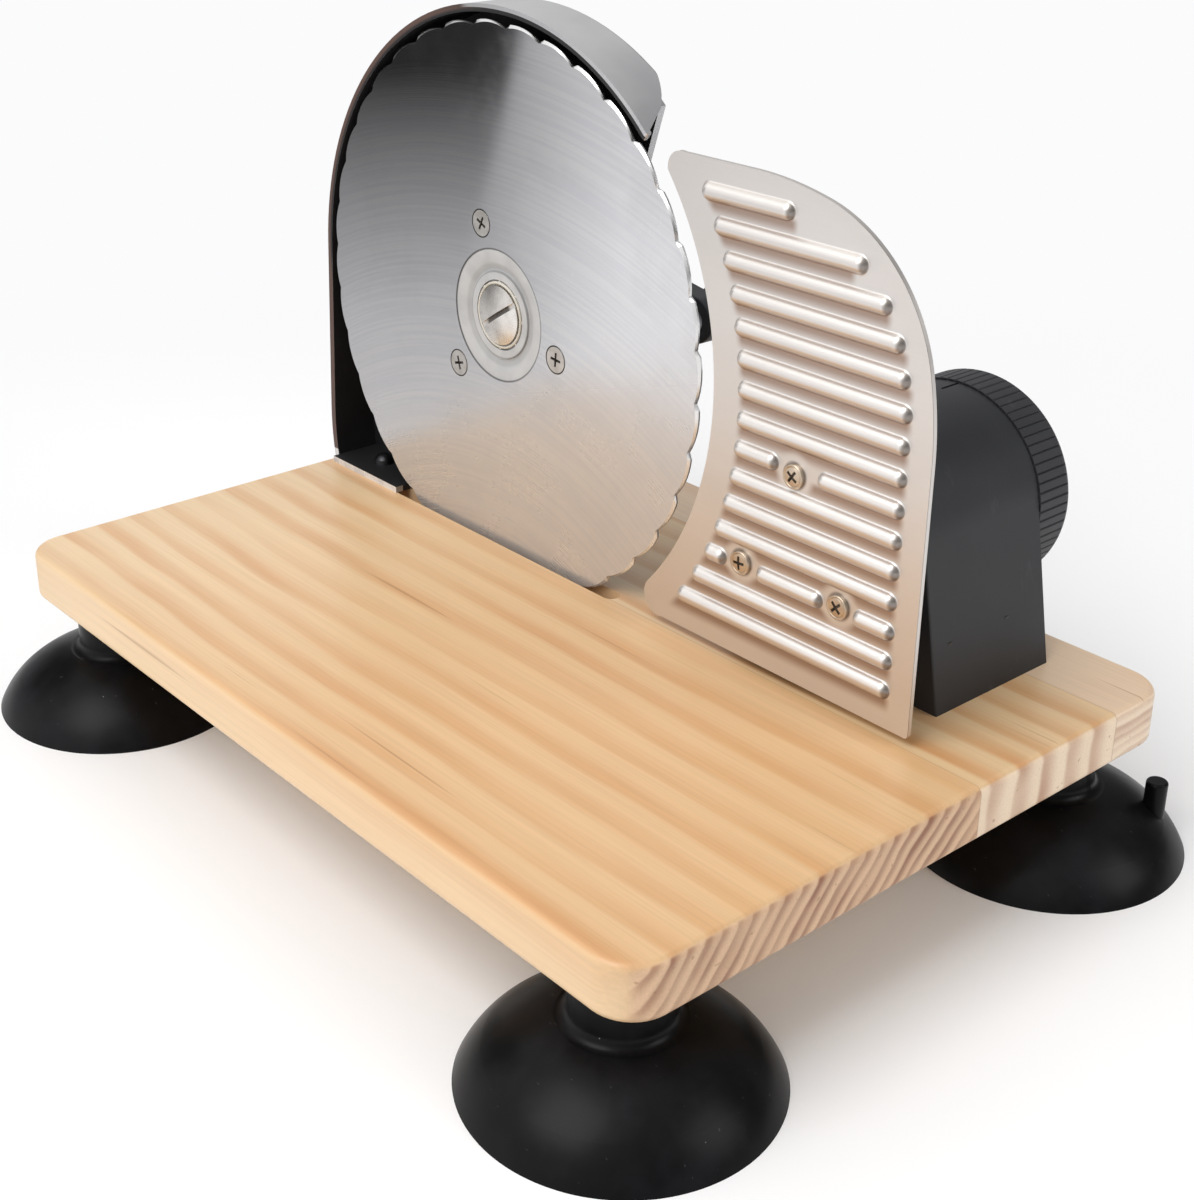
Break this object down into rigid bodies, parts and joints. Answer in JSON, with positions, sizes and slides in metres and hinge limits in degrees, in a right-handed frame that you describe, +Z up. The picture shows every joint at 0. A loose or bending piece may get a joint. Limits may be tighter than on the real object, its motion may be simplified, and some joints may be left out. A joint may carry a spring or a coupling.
{
  "type": "hand crank bread slicer",
  "caption": "Hand crank slicer: wooden board on suction cups, round toothed blade in a half hood, ribbed sliding fence set by a cam knob.",
  "frame": {"origin": "on the table under the middle of the wooden board", "axes": "+X from the bread side to the crank side, +Y along the board from the fence to the blade, +Z up"},
  "size_m": [0.261, 0.348, 0.2363],
  "materials": {
    "board_pine": "clear varnished pine",
    "cup_rubber": "smooth black rubber",
    "zinc_steel": "plain zinc plated",
    "blade_steel": "ground stainless steel",
    "gear_nylon": "light grey moulded nylon",
    "washer_cream": "cream coloured washer",
    "hood_cast": "satin metallic outside, black inside",
    "bush_bronze": "plain bearing bronze",
    "fence_steel": "satin stainless sheet",
    "black_plastic": "fine grained black plastic",
    "polished_steel": "bright machined steel"
  },
  "bodies": {
    "base": {"base_board": "board_pine", "cup_near_left": "cup_rubber", "cup_near_right": "cup_rubber", "cup_far_left": "cup_rubber", "cup_far_right": "cup_rubber", "cup_studs": "zinc_steel", "axle_bolt": "polished_steel", "axle_washer": "washer_cream", "blade_hood": "hood_cast", "hood_screws": "zinc_steel", "shaft_bush": "bush_bronze", "fence_housing": "black_plastic", "housing_screws": "zinc_steel"},
    "blade_unit": {"blade": "blade_steel", "blade_gear": "gear_nylon", "blade_screws": "polished_steel"},
    "crank": {"crank_shaft": "zinc_steel", "crank_pinion": "zinc_steel", "crank_arm": "black_plastic", "crank_screw": "zinc_steel", "grip_spindle": "zinc_steel"},
    "grip": {"crank_grip": "black_plastic"},
    "fence": {"fence_plate": "fence_steel", "fence_screws": "polished_steel", "fence_carriage": "black_plastic", "follower_pin": "zinc_steel"},
    "knob": {"thickness_knob": "black_plastic", "knob_circlip": "zinc_steel"}
  },
  "joints": [
    {"name": "blade_spin", "type": "hinge", "parent": "base", "child": "blade_unit", "pos_m": [0.0205, 0.053, 0.1363], "axis": [1, 0, 0], "continuous": true},
    {"name": "crank_spin", "type": "hinge", "parent": "base", "child": "crank", "pos_m": [0.0205, 0.0605, 0.14929], "axis": [1, 0, 0], "continuous": true},
    {"name": "grip_spin", "type": "hinge", "parent": "crank", "child": "grip", "pos_m": [0.0205, -0.00626, 0.14251], "axis": [1, 0, 0], "continuous": true},
    {"name": "knob_turn", "type": "hinge", "parent": "base", "child": "knob", "pos_m": [0.0205, -0.0815, 0.1], "axis": [1, 0, 0], "range_deg": [0, 300]},
    {"name": "fence_slide", "type": "slide", "parent": "base", "child": "fence", "axis": [1, 0, 0], "range_m": [0, 0.015]}
  ],
  "couplings": [
    {"joint": "crank_spin", "follows": "blade_spin", "ratio": 3},
    {"joint": "knob_turn", "follows": "fence_slide", "rad_per_m": 349.07}
  ]
}
